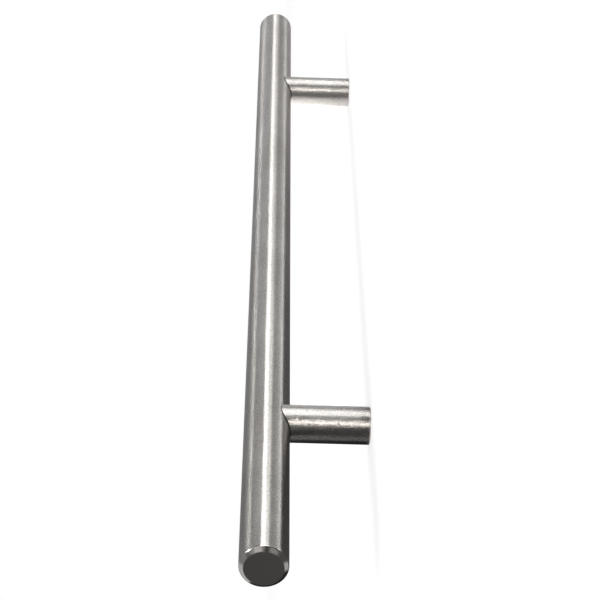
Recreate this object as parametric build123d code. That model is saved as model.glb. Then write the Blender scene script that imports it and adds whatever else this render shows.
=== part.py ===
"""T-bar cabinet pull: a turned grip bar carried on two coped posts.

Row frame, in millimetres: the origin is midway between the two post axes on the
mounting plane, +X runs along the bar, and +Z points out of the drawer front, from
the feet of the posts to the bar.

Each post is a length of round rod. Its upper end is coped to the bar, its foot is
tapped for the screw that comes through the drawer front, and a socket set screw
inside it reaches up into the bar and holds the two together.
"""

import os
from math import radians, tan

from build123d import *

# Grip bar
BAR_DIAMETER = 12.0
BAR_LENGTH = 350.0
BAR_CHAMFER_RADIAL = 1.15  # how far the end chamfer comes in from the side
BAR_CHAMFER_AXIAL = 0.85  # how far it runs back from the end face
BAR_EDGE_RADIUS = 0.12  # softening of both edges of the chamfer

# Posts
POST_DIAMETER = 10.0
HOLE_SPACING = 224.0  # between the two post axes
PROJECTION = 33.0  # from the drawer front to the outermost line of the bar
SEAT_CLEARANCE = 0.05  # between the coped end and the bar
COPE_EDGE_BREAK = 0.15  # bevel along the outer edge of the cope
FOOT_CHAMFER = 0.3

# Tapped hole in each foot, for an M4 machine screw
SCREW_THREAD_DIAMETER = 4.0
SCREW_COUNTERSINK_DIAMETER = 4.8
COUNTERSINK_ANGLE = 90.0

# Set screw that holds each post on the bar, M5 with a flat point
STUD_DIAMETER = 5.0
STUD_LENGTH = 12.0
STUD_DEPTH_IN_BAR = 5.8  # measured on the post axis, from the seat
STUD_POINT_DIAMETER = 3.5
STUD_SOCKET_END_DIAMETER = 4.1
STUD_SOCKET_ACROSS_FLATS = 2.5
STUD_SOCKET_DEPTH = 2.5
STUD_THREAD_CLEARANCE = 0.02  # radial, between the set screw and both tapped holes
STUD_END_CLEARANCE = 0.5  # free depth in the bar beyond the set screw's point
STUD_WIND_DOWN = 0.2  # lets the set screw sink below the seat before assembly

DRILL_POINT_ANGLE = 118.0

# Places that follow from the sizes above
BAR_RADIUS = BAR_DIAMETER / 2
BAR_AXIS_Z = PROJECTION - BAR_RADIUS
SEAT_Z = BAR_AXIS_Z - BAR_RADIUS
STUD_TOP_Z = SEAT_Z + STUD_DEPTH_IN_BAR
STUD_BOTTOM_Z = STUD_TOP_Z - STUD_LENGTH
STUD_HOLE_RADIUS = STUD_DIAMETER / 2 + STUD_THREAD_CLEARANCE
POST_STEP_Z = SEAT_Z - STUD_LENGTH - STUD_WIND_DOWN
POSTS = {"left": -HOLE_SPACING / 2, "right": HOLE_SPACING / 2}

UPWARD = (Align.CENTER, Align.CENTER, Align.MIN)
DOWNWARD = (Align.CENTER, Align.CENTER, Align.MAX)


def cone_height(wide_radius, narrow_radius, included_angle):
    """Length of a cone between two radii."""
    return (wide_radius - narrow_radius) / tan(radians(included_angle / 2))


def drilled_hole(radius, mouth_z, end_z):
    """The space a twist drill leaves: full width from mouth_z to end_z, then its point."""
    point = cone_height(radius, 0, DRILL_POINT_ANGLE)
    depth = abs(end_z - mouth_z)
    if end_z > mouth_z:
        straight = Pos(0, 0, mouth_z) * Cylinder(radius, depth, align=UPWARD)
        tip = Pos(0, 0, end_z) * Cone(radius, 0, point, align=UPWARD)
    else:
        straight = Pos(0, 0, mouth_z) * Cylinder(radius, depth, align=DOWNWARD)
        tip = Pos(0, 0, end_z) * Cone(0, radius, point, align=DOWNWARD)
    return straight + tip


def make_grip_bar():
    """Turned bar with chamfered ends and a blind tapped hole over each post."""
    half = BAR_LENGTH / 2
    face_radius = BAR_RADIUS - BAR_CHAMFER_RADIAL
    section = make_face(
        Polyline(
            (-half, 0),
            (-half, face_radius),
            (-half + BAR_CHAMFER_AXIAL, BAR_RADIUS),
            (half - BAR_CHAMFER_AXIAL, BAR_RADIUS),
            (half, face_radius),
            (half, 0),
            close=True,
        )
    )
    corners = section.vertices().filter_by(lambda vertex: vertex.Y > 0)
    section = fillet(corners, BAR_EDGE_RADIUS)
    bar = Pos(0, 0, BAR_AXIS_Z) * revolve(section, Axis.X)
    hole_end_z = STUD_TOP_Z + STUD_END_CLEARANCE
    # The drill starts outside the bar, so that it clears the round underside.
    hole = drilled_hole(STUD_HOLE_RADIUS, SEAT_Z - BAR_RADIUS / 2, hole_end_z)
    for x in POSTS.values():
        bar -= Pos(x, 0, 0) * hole
    return bar


def make_post(x):
    """Round rod, coped to the bar at the top and tapped right through in two sizes."""
    radius = POST_DIAMETER / 2
    rod = Cylinder(radius, BAR_AXIS_Z, align=UPWARD)
    rod = chamfer(rod.edges().group_by(Axis.Z)[0], FOOT_CHAMFER)
    cope_radius = BAR_RADIUS + SEAT_CLEARANCE
    cope = Pos(0, 0, BAR_AXIS_Z) * Rot(0, 90, 0) * Cylinder(cope_radius, 2 * POST_DIAMETER)
    post = rod - cope
    # The edge of the cope is the one closed edge above the foot chamfer.
    cope_edge = post.edges().filter_by(lambda edge: edge.bounding_box().min.Z > SEAT_Z / 2)
    post = chamfer(cope_edge, COPE_EDGE_BREAK)
    post -= drilled_hole(STUD_HOLE_RADIUS, BAR_AXIS_Z, POST_STEP_Z)
    screw_radius = SCREW_THREAD_DIAMETER / 2
    post -= Cylinder(screw_radius, POST_STEP_Z, align=UPWARD)
    mouth_radius = SCREW_COUNTERSINK_DIAMETER / 2
    mouth_depth = cone_height(mouth_radius, screw_radius, COUNTERSINK_ANGLE)
    post -= Cone(mouth_radius, screw_radius, mouth_depth, align=UPWARD)
    return Pos(x, 0, 0) * post


def make_stud(x):
    """Socket set screw: flat point up in the bar, hexagon socket down in the post."""
    radius = STUD_DIAMETER / 2
    point_chamfer = radius - STUD_POINT_DIAMETER / 2
    socket_chamfer = radius - STUD_SOCKET_END_DIAMETER / 2
    body = Pos(0, 0, STUD_BOTTOM_Z) * Cylinder(radius, STUD_LENGTH, align=UPWARD)
    body = chamfer(body.edges().group_by(Axis.Z)[-1], point_chamfer)
    body = chamfer(body.edges().group_by(Axis.Z)[0], socket_chamfer)
    socket = extrude(
        Pos(0, 0, STUD_BOTTOM_Z)
        * RegularPolygon(STUD_SOCKET_ACROSS_FLATS / 2, 6, major_radius=False),
        STUD_SOCKET_DEPTH,
    )
    bottom_radius = STUD_SOCKET_ACROSS_FLATS / 2
    bottom = Pos(0, 0, STUD_BOTTOM_Z + STUD_SOCKET_DEPTH) * Cone(
        bottom_radius,
        0,
        cone_height(bottom_radius, 0, DRILL_POINT_ANGLE),
        align=UPWARD,
    )
    return Pos(x, 0, 0) * (body - socket - bottom)


def make_parts():
    """Every piece of the pull, by node name."""
    parts = {"grip_bar": make_grip_bar()}
    for side, x in POSTS.items():
        parts[f"{side}_post"] = make_post(x)
        parts[f"{side}_post_stud"] = make_stud(x)
    return parts


os.makedirs("parts", exist_ok=True)
for name, solid in make_parts().items():
    export_step(solid, f"parts/{name}.step")
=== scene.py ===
"""Looks of the t-bar cabinet pull: finer meshes, brushed steel, studio and camera.

All lengths are in metres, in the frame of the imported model: the two posts stand on
the floor at z = 0, the bar runs along X above them, and the camera looks along the
bar from beyond its right end, rolled so that +Z points to the left of the picture.
"""

from functools import partial
from math import atan2, cos, pi, radians, sin, tan

import bmesh
import bpy
import numpy as np
from mathutils import Matrix, Vector


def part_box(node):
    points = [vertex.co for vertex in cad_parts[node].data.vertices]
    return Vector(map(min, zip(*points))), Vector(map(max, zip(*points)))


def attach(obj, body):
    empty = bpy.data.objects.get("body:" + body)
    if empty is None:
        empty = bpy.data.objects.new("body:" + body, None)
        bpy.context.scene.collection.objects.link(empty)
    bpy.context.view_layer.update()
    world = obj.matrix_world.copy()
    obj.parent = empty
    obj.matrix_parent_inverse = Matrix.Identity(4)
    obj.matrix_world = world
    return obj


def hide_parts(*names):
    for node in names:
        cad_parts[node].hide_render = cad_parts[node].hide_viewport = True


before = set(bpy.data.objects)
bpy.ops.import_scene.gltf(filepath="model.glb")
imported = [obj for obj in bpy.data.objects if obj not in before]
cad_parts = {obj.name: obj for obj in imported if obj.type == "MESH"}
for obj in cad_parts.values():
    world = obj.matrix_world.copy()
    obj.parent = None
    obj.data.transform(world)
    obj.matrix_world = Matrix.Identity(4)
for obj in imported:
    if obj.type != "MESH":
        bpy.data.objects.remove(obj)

bpy.context.view_layer.update()

MM = 0.001
CENTIMETRES_PER_METRE = 100

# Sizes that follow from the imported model
bar_low, bar_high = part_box("grip_bar")
post_low, post_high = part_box("right_post")
stud_low, stud_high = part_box("right_post_stud")
BAR_HALF = (bar_high.x - bar_low.x) / 2
BAR_RADIUS = (bar_high.y - bar_low.y) / 2
SEAT_Z = bar_low.z
AXIS_Z = SEAT_Z + BAR_RADIUS
POST_RADIUS = (post_high.x - post_low.x) / 2
POST_X = (post_high.x + post_low.x) / 2
STUD_RADIUS = (stud_high.x - stud_low.x) / 2
STUD_BOTTOM_Z = stud_low.z
STUD_TOP_Z = stud_high.z
SIDES = {"left": -POST_X, "right": POST_X}

# Turned ends of the bar
BAR_CHAMFER_RADIAL = 1.15 * MM
BAR_CHAMFER_AXIAL = 0.85 * MM
FACE_ROUNDING = 0.2 * MM
SIDE_ROUNDING = 0.6 * MM

# Coped post
COPE_RADIUS = BAR_RADIUS + 0.05 * MM
COPE_BEVEL = 0.15 * MM
# Width of wall below the bevel that the painted joint shade also covers
JOINT_LINE = 0.15 * MM
FOOT_BEVEL = 0.3 * MM

# Holes, screws and their pitches
DRILL_POINT_ANGLE = radians(118)
DRILL_SLOPE = tan(DRILL_POINT_ANGLE / 2)
STUD_HOLE_RADIUS = STUD_RADIUS + 0.02 * MM
STUD_HOLE_TOP_Z = STUD_TOP_Z + 0.5 * MM
STUD_PITCH = 0.8 * MM
STUD_POINT_RADIUS = 1.75 * MM
STUD_RIM_RADIUS = 2.05 * MM
SOCKET_HALF_FLATS = 1.25 * MM
SOCKET_DEPTH = 2.5 * MM
POST_STEP_Z = 8.8 * MM
SCREW_RADIUS = 2.0 * MM
SCREW_PITCH = 0.7 * MM
SCREW_MOUTH_RADIUS = 2.4 * MM

# Profile of a 60 degree thread in shares of its pitch: crest, flank, root, flank
THREAD_DEPTH = 0.5413
CREST_END = 1 / 8
ROOT_START = 7 / 16
ROOT_END = 11 / 16

# Fineness of the meshes, in columns round a piece and rows along it
ROUND_COLUMNS = 128
STUD_COLUMNS = 96
ROWS_PER_PITCH = 11
FACE_ROWS = 10
EDGE_ROWS = 8
CHAMFER_POINTS = 8
BAR_END_ROWS = 16
BAR_MIDDLE_ROWS = 60
FOOT_ROWS = 6
WALL_ROWS = 40
SADDLE_ROWS = 8
BORE_ROWS = 8
SOCKET_ROWS = 4
EDGE_SUPPORT = 0.04 * MM
SAME_POINT = 0.0005 * MM
SHARP_ANGLE = radians(30)
GRAIN_MAP = "grain"

# Block of the bar's skin that is left open for each blind hole
HOLE_BLOCK_HALF = 3.6 * MM
HOLE_BLOCK_ROWS = 24
HOLE_BLOCK_COLUMNS = 26


# Meshes


def spaced(start, end, steps):
    """Values from start to end, both included."""
    return list(np.linspace(start, end, steps + 1))


def turns(columns):
    """Angles of the columns of a round piece."""
    return np.arange(columns) * 2 * pi / columns


def row_round_z(x, radius, z, angles):
    """A row of points about an upright axis; radius and z may differ from column to column."""
    ones = np.ones_like(angles)
    return np.stack([x + radius * np.cos(angles), radius * np.sin(angles), z * ones], axis=1)


def row_round_bar(x, radius, angles):
    """A row of points about the bar's axis."""
    ones = np.ones_like(angles)
    return np.stack([x * ones, radius * np.cos(angles), AXIS_Z + radius * np.sin(angles)], axis=1)


def thread_radius(z, angles, pitch, outer):
    """Radius of a right-hand thread at one height, for each angle."""
    inner = outer - THREAD_DEPTH * pitch
    phase = (z / pitch - angles / (2 * pi)) % 1
    corners = [0, CREST_END, ROOT_START, ROOT_END, 1]
    return np.interp(phase, corners, [outer, outer, inner, inner, outer])


def grain_map_of(points):
    """U along the rows and V round the columns of a grid of points, in centimetres."""
    steps = np.linalg.norm(np.diff(points, axis=0), axis=2).mean(axis=1)
    u = np.concatenate([[0], np.cumsum(steps)])
    widest = np.linalg.norm(points - np.roll(points, 1, axis=1), axis=2).sum(axis=1).max()
    v = np.linspace(0, widest, points.shape[1] + 1)
    return u * CENTIMETRES_PER_METRE, v * CENTIMETRES_PER_METRE


def round_skin(name, grids, left_out=()):
    """Object of grids whose rows follow the axis and whose columns close right round it.

    The grain map gives the brushing its direction. Cells of the first grid that are
    in left_out are open, and the later grids fill them.
    """
    points, faces, places = [], [], []
    for number, grid in enumerate(grids):
        first = len(points)
        rows, columns = grid.shape[:2]
        u, v = grain_map_of(grid)
        points.extend(map(tuple, grid.reshape(-1, 3)))
        for i in range(rows - 1):
            for j in range(columns):
                if number == 0 and (i, j) in left_out:
                    continue
                k = (j + 1) % columns
                corners = ((i, j), (i, k), (i + 1, k), (i + 1, j))
                faces.append([first + row * columns + column for row, column in corners])
                places += [(u[i], v[j]), (u[i], v[j + 1]), (u[i + 1], v[j + 1]), (u[i + 1], v[j])]
    mesh = bpy.data.meshes.new(name)
    mesh.from_pydata(points, [], faces)
    mesh.uv_layers.new(name=GRAIN_MAP).data.foreach_set("uv", np.array(places).ravel())
    join_points(mesh)
    made = bpy.data.objects.new(name, mesh)
    bpy.context.scene.collection.objects.link(made)
    return made


def join_points(mesh):
    """Joins the points that meet at poles and between grids, and marks the hard edges."""
    work = bmesh.new()
    work.from_mesh(mesh)
    bmesh.ops.remove_doubles(work, verts=work.verts, dist=SAME_POINT)
    bmesh.ops.recalc_face_normals(work, faces=work.faces)
    work.to_mesh(mesh)
    work.free()
    mesh.shade_smooth()
    mesh.set_sharp_from_angle(angle=SHARP_ANGLE)


def rounded_edge(centre, radius, start, end):
    """Points (along, radius) of an edge's small arc, its normals turning from start to end."""
    return [
        (centre[0] + radius * cos(angle), centre[1] + radius * sin(angle))
        for angle in spaced(start, end, EDGE_ROWS)
    ]


def bar_end_profile():
    """(along, radius) from the middle of the right end face to just past its chamfer."""
    chamfer_normal = atan2(BAR_CHAMFER_AXIAL, BAR_CHAMFER_RADIAL)
    face_radius = BAR_RADIUS - BAR_CHAMFER_RADIAL
    face_centre = (
        BAR_HALF - FACE_ROUNDING,
        face_radius - FACE_ROUNDING * tan(chamfer_normal / 2),
    )
    side_centre = (
        BAR_HALF - BAR_CHAMFER_AXIAL - SIDE_ROUNDING * tan((pi / 2 - chamfer_normal) / 2),
        BAR_RADIUS - SIDE_ROUNDING,
    )
    face = [(BAR_HALF, radius) for radius in spaced(0, face_centre[1] - EDGE_SUPPORT, FACE_ROWS)]
    face_arc = rounded_edge(face_centre, FACE_ROUNDING, 0, chamfer_normal)
    side_arc = rounded_edge(side_centre, SIDE_ROUNDING, chamfer_normal, pi / 2)
    chamfer = np.linspace(face_arc[-1], side_arc[0], CHAMFER_POINTS)[1:-1]
    return face + face_arc + [tuple(point) for point in chamfer] + side_arc


def drilled_patch(block, x):
    """Grid from the edge of an open block of the bar's skin into its blind hole."""
    edge = np.concatenate([block[0, :-1], block[:-1, -1], block[-1, :0:-1], block[:0:-1, 0]])
    angles = np.arctan2(edge[:, 1], edge[:, 0] - x)
    mouth = row_round_z(x, STUD_HOLE_RADIUS, 0, angles)
    rows = [edge]
    for share in (0.25, 0.5, 0.75, 1.0):
        row = edge * (1 - share) + mouth * share
        row[:, 2] = AXIS_Z - np.sqrt(BAR_RADIUS**2 - row[:, 1] ** 2)
        rows.append(row)
    mouth_z = rows[-1][:, 2]
    for share in (0.33, 0.67, 1.0):
        row = mouth.copy()
        row[:, 2] = mouth_z * (1 - share) + STUD_HOLE_TOP_Z * share
        rows.append(row)
    rows.append(row_round_z(x, 0, STUD_HOLE_TOP_Z + STUD_HOLE_RADIUS / DRILL_SLOPE, angles))
    return np.stack(rows)


def make_bar():
    """Grip bar: a turned skin with rounded chamfers and a blind hole over each post."""
    angles = turns(ROUND_COLUMNS)
    end = bar_end_profile()
    side_start = end[-1][0] - EDGE_SUPPORT
    block_start = POST_X + HOLE_BLOCK_HALF
    block_end = POST_X - HOLE_BLOCK_HALF
    side = spaced(side_start, block_start, BAR_END_ROWS)[:-1]
    side += spaced(block_start, block_end, HOLE_BLOCK_ROWS)
    side += spaced(block_end, -block_end, BAR_MIDDLE_ROWS)[1:-1]
    side += spaced(-block_end, -block_start, HOLE_BLOCK_ROWS)
    side += spaced(-block_start, -side_start, BAR_END_ROWS)[1:]
    profile = end + [(x, BAR_RADIUS) for x in side] + [(-x, radius) for x, radius in end[::-1]]
    grid = np.stack([row_round_bar(x, radius, angles) for x, radius in profile])
    bottom_column = ROUND_COLUMNS * 3 // 4
    first_column = bottom_column - HOLE_BLOCK_COLUMNS // 2
    patches, left_out = [], set()
    for x in (POST_X, -POST_X):
        first_row = int(np.argmin(abs(grid[:, 0, 0] - (x + HOLE_BLOCK_HALF))))
        block = grid[
            first_row : first_row + HOLE_BLOCK_ROWS + 1,
            first_column : first_column + HOLE_BLOCK_COLUMNS + 1,
        ]
        patches.append(drilled_patch(block, x))
        for i in range(HOLE_BLOCK_ROWS):
            for j in range(HOLE_BLOCK_COLUMNS):
                left_out.add((first_row + i, first_column + j))
    return round_skin("grip_bar_brushed", [grid, *patches], left_out)


def cope_height(y):
    """Height of the coped saddle at a distance y from the bar's middle plane."""
    return AXIS_Z - np.sqrt(COPE_RADIUS**2 - y**2)


def make_post(side, x):
    """Post: foot, wall, bevelled cope, set screw bore, and the threaded hole to the foot."""
    angles = turns(ROUND_COLUMNS)
    sines = np.sin(angles)
    saddle_rim = POST_RADIUS - COPE_BEVEL
    wall_top = cope_height(POST_RADIUS * sines) - COPE_BEVEL
    # Rows close to both ends of the wall keep its shading straight up to the bevels.
    wall_shares = (0, 0.004, *spaced(0.02, 0.98, WALL_ROWS), 0.996, 1)
    bore_top = cope_height(STUD_HOLE_RADIUS * sines)
    rows = []
    for radius in spaced(SCREW_MOUTH_RADIUS, POST_RADIUS - FOOT_BEVEL, FOOT_ROWS):
        rows.append(row_round_z(x, radius, 0, angles))
    for share in wall_shares:
        z = FOOT_BEVEL + (wall_top - FOOT_BEVEL) * share
        rows.append(row_round_z(x, POST_RADIUS, z, angles))
    for radius in spaced(saddle_rim, STUD_HOLE_RADIUS, SADDLE_ROWS):
        rows.append(row_round_z(x, radius, cope_height(radius * sines), angles))
    for share in spaced(0, 1, BORE_ROWS)[1:]:
        z = bore_top + (POST_STEP_Z - bore_top) * share
        rows.append(row_round_z(x, STUD_HOLE_RADIUS, z, angles))
    thread_rows = round(POST_STEP_Z / SCREW_PITCH * ROWS_PER_PITCH)
    for z in spaced(POST_STEP_Z, 0, thread_rows)[1:]:
        radius = thread_radius(z, angles, SCREW_PITCH, SCREW_RADIUS)
        radius = np.maximum(radius, STUD_HOLE_RADIUS - (POST_STEP_Z - z) * DRILL_SLOPE)
        radius = np.maximum(radius, SCREW_MOUTH_RADIUS - z)
        rows.append(row_round_z(x, radius, z, angles))
    return round_skin(f"{side}_post_brushed", [np.stack(rows)])


def make_stud(side, x):
    """Set screw: hexagon socket below, thread, flat point above."""
    angles = turns(STUD_COLUMNS)
    from_flat = (angles + pi / 6) % (pi / 3) - pi / 6
    hexagon = SOCKET_HALF_FLATS / np.cos(from_flat)
    socket_floor = STUD_BOTTOM_Z + SOCKET_DEPTH
    drill_radius = 0.99 * SOCKET_HALF_FLATS
    drill_point = socket_floor + SOCKET_HALF_FLATS / DRILL_SLOPE
    rows = [
        row_round_z(x, 0, drill_point, angles),
        row_round_z(x, drill_radius, socket_floor, angles),
        row_round_z(x, hexagon, socket_floor, angles),
    ]
    for z in spaced(socket_floor, STUD_BOTTOM_Z, SOCKET_ROWS)[1:]:
        rows.append(row_round_z(x, hexagon, z, angles))
    rows.append(row_round_z(x, STUD_RIM_RADIUS, STUD_BOTTOM_Z, angles))
    thread_rows = round((STUD_TOP_Z - STUD_BOTTOM_Z) / STUD_PITCH * ROWS_PER_PITCH)
    for z in spaced(STUD_BOTTOM_Z, STUD_TOP_Z, thread_rows)[1:]:
        radius = thread_radius(z, angles, STUD_PITCH, STUD_RADIUS)
        radius = np.minimum(radius, STUD_RIM_RADIUS + (z - STUD_BOTTOM_Z))
        radius = np.minimum(radius, STUD_POINT_RADIUS + (STUD_TOP_Z - z))
        rows.append(row_round_z(x, radius, z, angles))
    for share in (0.5, 0):
        rows.append(row_round_z(x, STUD_POINT_RADIUS * share, STUD_TOP_Z, angles))
    return round_skin(f"{side}_set_screw", [np.stack(rows)])


# Materials

STEEL_COLOUR = (0.672, 0.650, 0.622)
STEEL_DARK_COLOUR = (0.468, 0.450, 0.428)
# Painted shade in the joint between a post and the bar
JOINT_SHADE_COLOUR = (0.012, 0.010, 0.009)
OXIDE_COLOUR = (0.035, 0.036, 0.04)
WORN_OXIDE_COLOUR = (0.12, 0.12, 0.125)
BRUSHED_DEPTH = 0.12 * MM
FACED_DEPTH = 0.003 * MM
FINE_SHARE = 0.06  # of the brushed depth, for the finest scratches
CLOUD_SHARE = 0.3  # of the steel's mottled tone; the specks have the rest

# Small dark dents on the bar and on the right post, in millimetres
BAR_PIT = (113.5, 5.65, 29.0)
POST_PIT = (116.9, 1.0, 2.3)
PIT_FLOOR_RADIUS = 0.08
PIT_RIM_RADIUS = 0.2


def add(tree, kind, inputs, **settings):
    """A node with its settings and inputs; an input may be a value or another node's output."""
    node = tree.nodes.new(kind)
    for name, value in settings.items():
        setattr(node, name, value)
    for name, value in inputs.items():
        if isinstance(value, bpy.types.NodeSocket):
            tree.links.new(value, node.inputs[name])
        else:
            node.inputs[name].default_value = value
    return node


def maths(tree, operation, *values):
    """Output of a math node."""
    inputs = dict(enumerate(values))
    return add(tree, "ShaderNodeMath", inputs, operation=operation).outputs[0]


def vector_maths(tree, operation, *values):
    """Vector math node, with a vector as output 0 or a number as output "Value"."""
    inputs = dict(enumerate(values))
    return add(tree, "ShaderNodeVectorMath", inputs, operation=operation)


def ramp(tree, value, start, end, low, high):
    """Smooth change from low to high as value goes from start to end."""
    inputs = {
        "Value": value,
        "From Min": start,
        "From Max": end,
        "To Min": low,
        "To Max": high,
    }
    node = add(tree, "ShaderNodeMapRange", inputs, interpolation_type="SMOOTHSTEP")
    return node.outputs["Result"]


def mixed_colour(tree, first, second, share):
    """Colour that goes from first to second as share goes from 0 to 1."""
    inputs = {"A": (*first, 1), "B": (*second, 1), "Factor": share}
    return add(tree, "ShaderNodeMix", inputs, data_type="RGBA").outputs[2]


def noise(tree, place, scale, detail, roughness=0.5):
    """Noise between 0 and 1, with so many cells (scale) to the unit of the place."""
    inputs = {"Vector": place, "Scale": scale, "Detail": detail, "Roughness": roughness}
    return add(tree, "ShaderNodeTexNoise", inputs).outputs["Fac"]


def bumped_normal(tree, height, depth):
    """Normal of a surface with bumps of a height from 0 to 1 times the depth."""
    inputs = {"Height": height, "Strength": 1.0, "Distance": depth}
    return add(tree, "ShaderNodeBump", inputs).outputs[0]


def new_material(name):
    """Material with an empty tree that ends in a Principled shader."""
    material = bpy.data.materials.new(name)
    material.use_nodes = True
    tree = material.node_tree
    tree.nodes.clear()
    shader = add(tree, "ShaderNodeBsdfPrincipled", {})
    output = tree.nodes.new("ShaderNodeOutputMaterial")
    tree.links.new(shader.outputs["BSDF"], output.inputs["Surface"])
    return material, tree, shader


def place_in_mm(tree):
    """Place on the object, in millimetres."""
    place = tree.nodes.new("ShaderNodeTexCoord").outputs["Object"]
    inputs = {0: place, "Scale": 1 / MM}
    return add(tree, "ShaderNodeVectorMath", inputs, operation="SCALE").outputs[0]


def streaks(tree, place, axis, along, around, detail, turn=0.0):
    """Noise drawn out round an axis, with so many cells to the millimetre along and around it.

    The turn tips the cells a little, so that they don't line up with the axis.
    """
    scale = Vector((around, around, around))
    scale["XYZ".index(axis)] = along
    rotation = (0, turn, turn) if axis == "X" else (turn, turn, 0)
    turned = add(tree, "ShaderNodeMapping", {"Vector": place, "Rotation": rotation}).outputs[0]
    stretched = add(tree, "ShaderNodeMapping", {"Vector": turned, "Scale": scale}).outputs[0]
    return noise(tree, stretched, scale=1.0, detail=detail, roughness=0.6)


def brushed_steel(name, axis, cells, unevenness, lines, pit):
    """Satin steel with fine scratches that run round the axis of the piece.

    The scratches are uneven, in so many blobs, or cells, to the millimetre. The depths
    of the blobs (unevenness) and of the long faint ridges along the piece (lines) are
    shares of BRUSHED_DEPTH. The pit is a small dark dent at a place in millimetres.
    """
    material, tree, shader = new_material(name)
    place = place_in_mm(tree)
    pattern = partial(streaks, tree, place, axis)
    fine = pattern(along=5.0, around=0.9, detail=2.0, turn=radians(2))
    grain = pattern(along=1.1 * cells, around=0.3 * cells, detail=0.0, turn=radians(-3))
    dapple = pattern(along=cells, around=0.9 * cells, detail=0.0, turn=radians(15))
    specks = pattern(along=3.0, around=2.2, detail=1.0, turn=radians(8))
    ridges = pattern(along=0.02, around=2.6, detail=0.0)
    clouds = pattern(along=0.05, around=0.12, detail=2.0)
    from_pit = vector_maths(tree, "DISTANCE", place, pit).outputs["Value"]
    dent = ramp(tree, from_pit, PIT_FLOOR_RADIUS, PIT_RIM_RADIUS, low=1, high=0)
    height = maths(tree, "MULTIPLY", fine, FINE_SHARE)
    for part, depth in ((grain, 0.8 * unevenness), (dapple, unevenness), (ridges, lines)):
        height = maths(tree, "MULTIPLY_ADD", part, depth, height)
    tone = maths(tree, "MULTIPLY", clouds, CLOUD_SHARE)
    tone = maths(tree, "MULTIPLY_ADD", specks, 1 - CLOUD_SHARE, tone)
    tone = ramp(tree, tone, start=0.36, end=0.62, low=0, high=1)
    tone = maths(tree, "SUBTRACT", tone, dent)
    base = mixed_colour(tree, STEEL_DARK_COLOUR, STEEL_COLOUR, tone)
    roughness = ramp(tree, grain, start=0.3, end=0.7, low=0.30, high=0.34)
    normal = bumped_normal(tree, height, BRUSHED_DEPTH)
    tangent = add(tree, "ShaderNodeTangent", {}, direction_type="UV_MAP", uv_map=GRAIN_MAP)
    tree.links.new(base, shader.inputs["Base Color"])
    tree.links.new(roughness, shader.inputs["Roughness"])
    tree.links.new(normal, shader.inputs["Normal"])
    tree.links.new(tangent.outputs[0], shader.inputs["Tangent"])
    shader.inputs["Metallic"].default_value = 1.0
    shader.inputs["Anisotropic"].default_value = 0.98
    return material


def faced_steel(name):
    """Smoother steel of the bar's turned ends, with fine rings from the cutting tool."""
    material, tree, shader = new_material(name)
    place = place_in_mm(tree)
    across_axis = vector_maths(tree, "MULTIPLY", place, (0, 1, 1)).outputs[0]
    from_axis = vector_maths(tree, "SUBTRACT", across_axis, (0, 0, AXIS_Z / MM)).outputs[0]
    radius = vector_maths(tree, "LENGTH", from_axis).outputs["Value"]
    inputs = {"W": radius, "Scale": 5.0, "Detail": 2.0}
    rings = add(tree, "ShaderNodeTexNoise", inputs, noise_dimensions="1D").outputs["Fac"]
    specks = noise(tree, place, scale=1.2, detail=2.0)
    height = maths(tree, "MULTIPLY_ADD", specks, 0.5, rings)
    normal = bumped_normal(tree, height, FACED_DEPTH)
    roughness = ramp(tree, rings, start=0.3, end=0.7, low=0.17, high=0.22)
    shader.inputs["Base Color"].default_value = (*STEEL_COLOUR, 1)
    tree.links.new(roughness, shader.inputs["Roughness"])
    tree.links.new(normal, shader.inputs["Normal"])
    shader.inputs["Metallic"].default_value = 1.0
    return material


def painted_joint_shade(name):
    """Painted shade: near-black colour in the fine joint between a post and the bar, standing in
    for the shade in the gap.
    """
    material, _, shader = new_material(name)
    shader.inputs["Base Color"].default_value = (*JOINT_SHADE_COLOUR, 1)
    shader.inputs["Roughness"].default_value = 0.6
    shader.inputs["Specular IOR Level"].default_value = 0.2
    return material


def black_oxide(name):
    """Hardened screw steel, oxide black, rubbed a little brighter where it wears."""
    material, tree, shader = new_material(name)
    wear = noise(tree, place_in_mm(tree), scale=1.6, detail=5.0)
    worn = ramp(tree, wear, start=0.5, end=0.7, low=0, high=1)
    base = mixed_colour(tree, OXIDE_COLOUR, WORN_OXIDE_COLOUR, worn)
    roughness = ramp(tree, wear, start=0.35, end=0.7, low=0.55, high=0.38)
    tree.links.new(base, shader.inputs["Base Color"])
    tree.links.new(roughness, shader.inputs["Roughness"])
    shader.inputs["Metallic"].default_value = 1.0
    return material


# Studio

WORLD_LIGHT = 0.75  # that falls on the floor from surroundings that look white
FLOOR_HALF = 3.0
FLOOR_COLOUR = (0.70, 0.70, 0.70)
FLOOR_LIFT = 0.44  # glow that brings the floor up to nearly white
FLOOR_LAYER = 0.3 * MM  # height between boards that lie over each other
ROOM_HALF = 2.9
ROOM_HEIGHT = 2.2
WHITE = (1, 1, 1)
WARM = (1, 0.985, 0.965)
WARMER = (1, 0.95, 0.89)
COOL = (0.98, 1, 1.05)
PINKISH = (1, 0.97, 1)
ROSY = (1, 0.97, 0.96)


def seen_directly_or_in_metal(tree):
    """One for camera, glossy and transmission rays, and zero for the rest."""
    path = tree.nodes.new("ShaderNodeLightPath")
    seen = maths(tree, "MAXIMUM", path.outputs["Is Camera Ray"], path.outputs["Is Glossy Ray"])
    return maths(tree, "MAXIMUM", seen, path.outputs["Is Transmission Ray"])


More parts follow.
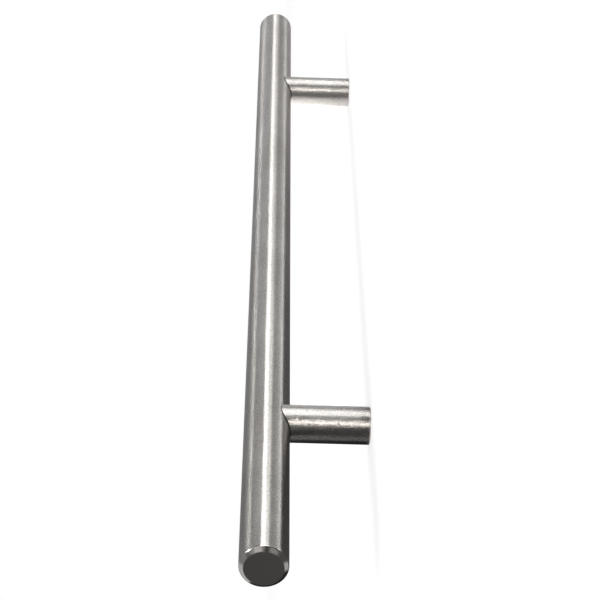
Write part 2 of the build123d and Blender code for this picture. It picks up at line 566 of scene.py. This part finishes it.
def flat_sheet(name, centre, half_u, half_v):
    """Rectangle given by its centre and its two half sides, with U and V from 0 to 1."""
    centre, half_u, half_v = Vector(centre), Vector(half_u), Vector(half_v)
    corners = [
        centre - half_u - half_v,
        centre + half_u - half_v,
        centre + half_u + half_v,
        centre - half_u + half_v,
    ]
    mesh = bpy.data.meshes.new(name)
    mesh.from_pydata(corners, [], [(0, 1, 2, 3)])
    mesh.uv_layers.new(name="UVMap").data.foreach_set("uv", [0, 0, 1, 0, 1, 1, 0, 1])
    made = bpy.data.objects.new(name, mesh)
    bpy.context.scene.collection.objects.link(made)
    return made


def make_world():
    """White surroundings, which also light the floor from all sides."""
    world = bpy.data.worlds.new("white surroundings")
    bpy.context.scene.world = world
    world.use_nodes = True
    tree = world.node_tree
    tree.nodes.clear()
    strength = maths(tree, "MAXIMUM", seen_directly_or_in_metal(tree), WORLD_LIGHT)
    background = add(tree, "ShaderNodeBackground", {"Color": (*WHITE, 1), "Strength": strength})
    output = tree.nodes.new("ShaderNodeOutputWorld")
    tree.links.new(background.outputs[0], output.inputs["Surface"])


def make_floor():
    """Plain pale floor, shown nearly white, that keeps the object's shadow."""
    half = FLOOR_HALF
    floor = flat_sheet("floor", (0, 0, 0), (half, 0, 0), (0, half, 0))
    material = bpy.data.materials.new("pale floor")
    material.use_nodes = True
    tree = material.node_tree
    tree.nodes.clear()
    paint = add(tree, "ShaderNodeBsdfDiffuse", {"Color": (*FLOOR_COLOUR, 1)})
    lift = maths(tree, "MULTIPLY", seen_directly_or_in_metal(tree), FLOOR_LIFT)
    glow = add(tree, "ShaderNodeEmission", {"Strength": lift})
    both = add(tree, "ShaderNodeAddShader", {0: paint.outputs[0], 1: glow.outputs[0]})
    output = tree.nodes.new("ShaderNodeOutputMaterial")
    tree.links.new(both.outputs[0], output.inputs["Surface"])
    floor.data.materials.append(material)


def show_in_reflections_only(thing):
    """Studio boards and lights stand round the object, out of the picture."""
    for ray in ("camera", "diffuse", "transmission", "volume_scatter", "shadow"):
        setattr(thing, f"visible_{ray}", False)


def board(name, low, high, light, far_light=None, fade=(0.0, 1.0), tint=WHITE):
    """Flat studio board between two corners, which are equal along one of the axes.

    Its brightness goes from light at the +X side to far_light at the -X side, with a
    smooth change inside the fade. A board that faces along X fades from +Y to -Y.
    """
    low, high = Vector(low), Vector(high)
    half = (high - low) / 2
    axes = Matrix.Identity(3)
    sides = [axes[i] * half[i] for i in range(3) if half[i]]
    made = flat_sheet(name, (low + high) / 2, *sides)
    material = bpy.data.materials.new(name)
    material.use_nodes = True
    tree = material.node_tree
    tree.nodes.clear()
    place = tree.nodes.new("ShaderNodeTexCoord").outputs["UV"]
    u = add(tree, "ShaderNodeSeparateXYZ", {0: place}).outputs[0]
    from_light_side = maths(tree, "SUBTRACT", 1.0, u)
    far_light = light if far_light is None else far_light
    strength = ramp(tree, from_light_side, fade[0], fade[1], light, far_light)
    glow = add(tree, "ShaderNodeEmission", {"Color": (*tint, 1), "Strength": strength})
    output = tree.nodes.new("ShaderNodeOutputMaterial")
    tree.links.new(glow.outputs[0], output.inputs["Surface"])
    made.data.materials.append(material)
    show_in_reflections_only(made)
    return made


def facing_board(name, place, half_width, half_height, light, tint=WHITE):
    """Square-on studio light: a board that faces the middle of the object."""
    corner = Vector((half_width, half_height, 0))
    made = board(name, -corner, corner, light, tint=tint)
    made.location = place
    made.rotation_mode = "QUATERNION"
    made.rotation_quaternion = (Vector((0, 0, AXIS_Z)) - Vector(place)).to_track_quat("-Z", "Y")


def floor_board(name, layer, low, high, light, **look):
    """Board between two (x, y) corners on the floor, where higher layers cover lower ones."""
    height = layer * FLOOR_LAYER
    board(name, (*low, height), (*high, height), light, **look)


def make_room():
    """Ceiling and walls; the wall beyond the bar's far end has lighter and darker parts."""
    half = ROOM_HALF
    top = ROOM_HEIGHT
    board("ceiling", (-half, -half, top), (half, half, top), 0.22)
    board("wall_beyond", (-half, -half, 0), (-half, half, top), 0.25, tint=COOL)
    board("grey_wall_beyond", (-2.85, -1.8, 1.0), (-2.85, 0.9, 1.5), 0.6, tint=COOL)
    board("window_beyond", (-2.79, -0.6, 0.75), (-2.79, 0.5, 1.05), 2.1, tint=COOL)
    board("light_wall_beyond", (-2.8, -1.6, 0.3), (-2.8, 0.9, 1.0), 1.4, tint=COOL)
    board("low_wall_beyond", (-2.8, -1.6, 0), (-2.8, 1.2, 0.3), 0.4, tint=COOL)
    board("wall_up", (-half, half, 0), (half, half, top), 0.30, 0.12, fade=(0.3, 0.6))
    board("wall_down", (-half, -half, 0), (half, -half, top), 0.10, 0.60, fade=(0.4, 0.9))
    board("wall_behind_camera", (2.85, -half, 0), (2.85, half, top), 0.1, 0.06, fade=(0.05, 0.3))


def make_lights():
    """Soft box and windows, which the steel mirrors as bright lines, and darker boards."""
    board("dark_by_soft_box", (0.3, 2.6, 0), (2.8, 2.6, 0.6), 0.03)
    board("soft_box", (-2.78, 2.5, 0), (0.2, 2.5, 0.55), 6.9, 1.3, fade=(0.6, 0.95))
    facing_board("high_window", (0.96, 1.05, 2.19), 0.29, 0.31, light=35.0, tint=WARM)
    facing_board("low_window", (0.69, 0.53, 0.30), 0.10, 0.07, light=21.0, tint=WARMER)
    facing_board("far_low_window", (2.07, 1.21, 0.80), 0.25, 0.15, light=4.5, tint=WARMER)
    facing_board("flag_by_the_end", (0.215, 0.036, 0.045), 0.018, 0.011, light=0.42)
    facing_board("dark_by_low_window", (1.135, 0.255, 1.15), 0.20, 0.20, light=0.02)


def make_floor_boards():
    """Bands of the floor along the bar, and small patches near the post and the end; the patch by
    the post is a painted shadow.
    """
    split_x = 0.17
    light_y = 0.0162
    grey_y = 0.02
    glow_y = 0.085
    back_y = -0.6
    floor_board("floor_beyond", 2, (-2.8, -1.0), (-0.7, 1.2), 0.3, tint=COOL)
    floor_board("floor_glow", 3, (-2.0, 0.35), (split_x, 2.4), 1.8)
    floor_board("floor_grey", 1, (-2.5, grey_y), (split_x, glow_y), 0.43, far_light=0.5)
    floor_board("floor_light_by_the_end", 2, (0.0, glow_y), (split_x, 0.3), 1.9)
    lit = {"far_light": 1.3, "fade": (0, 0.25)}
    floor_board("floor_light", 1, (-2.5, light_y), (split_x, grey_y), 2.7, **lit)
    dim = {"far_light": 0.03, "fade": (0.1, 0.5)}
    floor_board("floor_near_camera", 1, (split_x, light_y), (2.8, 2.9), 0.13, **dim)
    dark = {"far_light": 0.60, "fade": (0.697, 0.83), "tint": PINKISH}
    floor_board("floor_dark", 1, (-1.0, back_y), (2.8, light_y), 0.08, **dark)
    floor_board("floor_behind_camera", 1, (0.6, -2.9), (2.8, back_y), 0.08)
    # Painted shadow: dark patch beside the near post, which the steel mirrors in place of the
    # post's shadow on the floor
    floor_board("painted_post_shadow_on_floor", 2, (0.085, -0.045), (0.118, -0.004), 0.02)
    floor_board("floor_by_the_end", 2, (0.178, -0.022), (0.19, -0.006), 0.5)
    floor_board("floor_spot", 2, (0.198, 0.010), (0.255, 0.055), 0.3)


def make_boards_beside():
    """Upright boards on the -Y side of the object, the low ones close beside it."""
    back_y = -0.6
    near_y = -0.05
    near_top = 0.042
    between_posts = 0.04
    board("back_light", (-0.6, back_y, 0.15), (0.6, back_y, 1.2), 0.55)
    board("back_dark", (-0.6, back_y, 0), (0.6, back_y, 0.15), 0.03, 0.5, fade=(0.4, 0.8))
    lit = {"far_light": 1.8, "fade": (0.0, 0.22), "tint": ROSY}
    board("beside_far_post", (-0.6, near_y, 0), (between_posts, near_y, near_top), 0.3, **lit)
    board("beside_near_post", (between_posts, near_y, 0), (0.125, near_y, near_top), 0.02)
    board("beside_the_end", (0.152, -0.02, 0), (0.18, -0.02, 0.0345), 0.02)
    board("beside_the_far_end", (-0.3, -0.03, 0), (-0.178, -0.03, 0.045), 0.2)


def make_studio():
    """Boards and soft lights that the steel reflects."""
    make_room()
    make_lights()
    make_floor_boards()
    make_boards_beside()


def make_lamp():
    """Large soft lamp overhead, for the floor and its shadow."""
    height = 1.5
    share_of_white = 0.25
    data = bpy.data.lights.new("overhead_lamp", "AREA")
    data.size = 1.0
    data.energy = share_of_white * pi**2 * height**2
    lamp = bpy.data.objects.new("overhead_lamp", data)
    lamp.location = (0, 0, height)
    lamp.visible_camera = False
    lamp.visible_glossy = False
    bpy.context.scene.collection.objects.link(lamp)


# Camera, found by fitting the outline of the bar and posts to the photograph

CAMERA_PLACE = Vector((0.540361, 0.273202, 0.028968))
CAMERA_RIGHT = Vector((0.003116, 0.033970, -0.999418))
CAMERA_UP = Vector((-0.483159, 0.875077, 0.028238))
CAMERA_LENS = 116.388
SENSOR_WIDTH = 36.0


def make_camera():
    """Camera at the photograph's viewing angle."""
    data = bpy.data.cameras.new("camera")
    data.lens = CAMERA_LENS
    data.sensor_width = SENSOR_WIDTH
    data.clip_start = 0.01
    data.clip_end = 20
    camera = bpy.data.objects.new("camera", data)
    back = CAMERA_RIGHT.cross(CAMERA_UP)
    turn = Matrix((CAMERA_RIGHT, CAMERA_UP, back)).transposed()
    camera.matrix_world = Matrix.Translation(CAMERA_PLACE) @ turn.to_4x4()
    bpy.context.scene.collection.objects.link(camera)
    bpy.context.scene.camera = camera


# The object


def dress(piece, node, slot, *materials):
    """Gives a piece its materials, and lets it stand for its CAD node."""
    for material in materials:
        piece.data.materials.append(material)
    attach(piece, "root")
    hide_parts(node)


def mark_faced_ends(bar):
    """Gives the end faces and chamfers of the bar its second material."""
    brushing_stops = BAR_HALF - BAR_CHAMFER_AXIAL - SIDE_ROUNDING / 2
    for face in bar.data.polygons:
        face.material_index = int(abs(face.center.x) > brushing_stops)


def mark_painted_joint_shade(post, x):
    """Gives the bevel round the saddle of a post its second material, the painted joint shade."""
    for face in post.data.polygons:
        radius = (face.center.xy - Vector((x, 0))).length
        near_saddle = face.center.z > cope_height(face.center.y) - COPE_BEVEL - JOINT_LINE
        face.material_index = int(near_saddle and radius > POST_RADIUS - COPE_BEVEL)


make_camera()
bar = make_bar()
bar_material = brushed_steel(
    "bar_brushed_steel", "X", cells=2.2, unevenness=0.25, lines=0.015, pit=BAR_PIT
)
dress(bar, "grip_bar", "bar_steel", bar_material, faced_steel("bar_faced_steel"))
mark_faced_ends(bar)
post_material = brushed_steel(
    "post_brushed_steel", "Z", cells=3.0, unevenness=0.5, lines=0.18, pit=POST_PIT
)
# Painted shade on the bevel and a thin band below it round each post's saddle
joint_shade_material = painted_joint_shade("painted_joint_shade")
stud_material = black_oxide("stud_black_oxide")
for side, x in SIDES.items():
    post = make_post(side, x)
    dress(post, f"{side}_post", "post_steel", post_material, joint_shade_material)
    mark_painted_joint_shade(post, x)
    dress(make_stud(side, x), f"{side}_post_stud", "stud_steel", stud_material)
make_world()
make_floor()
make_studio()
make_lamp()
bpy.context.scene.view_settings.view_transform = "Standard"

bpy.context.view_layer.update()
